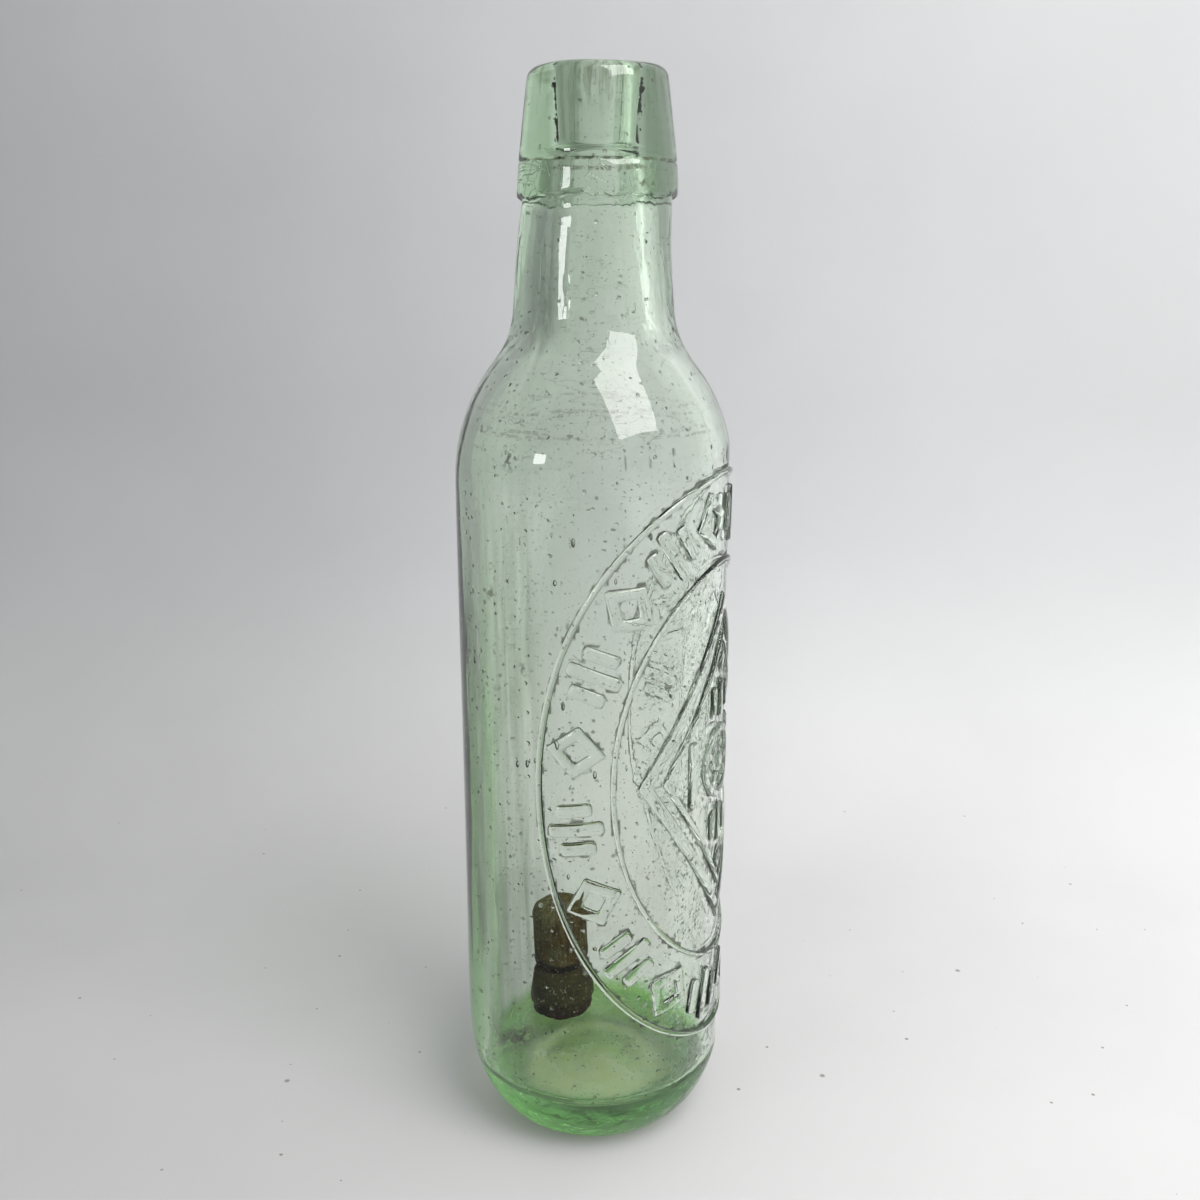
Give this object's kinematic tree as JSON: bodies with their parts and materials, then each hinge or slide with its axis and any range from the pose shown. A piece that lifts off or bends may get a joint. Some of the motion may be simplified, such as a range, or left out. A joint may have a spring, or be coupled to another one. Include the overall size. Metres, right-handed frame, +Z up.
{
  "type": "internal stopper bottle",
  "caption": "Pale aqua glass mineral water bottle with a tooled applied lip and a loose wooden plug stopper with a rubber ring inside.",
  "frame": {"origin": "centre of the standing ring, on the plane that the bottle stands on", "axes": "+Z up the bottle's axis; the reference view looks along +Y with +X to the right, and the stopper lies behind and to the left"},
  "size_m": [0.06, 0.06, 0.2346],
  "materials": {
    "aqua_glass": "clear pale aqua with seeds, scratches and inner haze",
    "lip_glass": "clear pale aqua, a little greener where it is thick",
    "stopper_wood": "old turned hardwood, stained olive brown",
    "stopper_rubber": "perished grey brown rubber"
  },
  "bodies": {
    "bottle": {"bottle_body": "aqua_glass", "applied_lip": "lip_glass"},
    "stopper": {"stopper_plug": "stopper_wood", "stopper_ring": "stopper_rubber"}
  },
  "joints": [
    {"name": "stopper_rise", "type": "slide", "parent": "bottle", "child": "stopper", "axis": [0.0513, -0.0821, 0.9953], "range_m": [0, 0.17]}
  ]
}
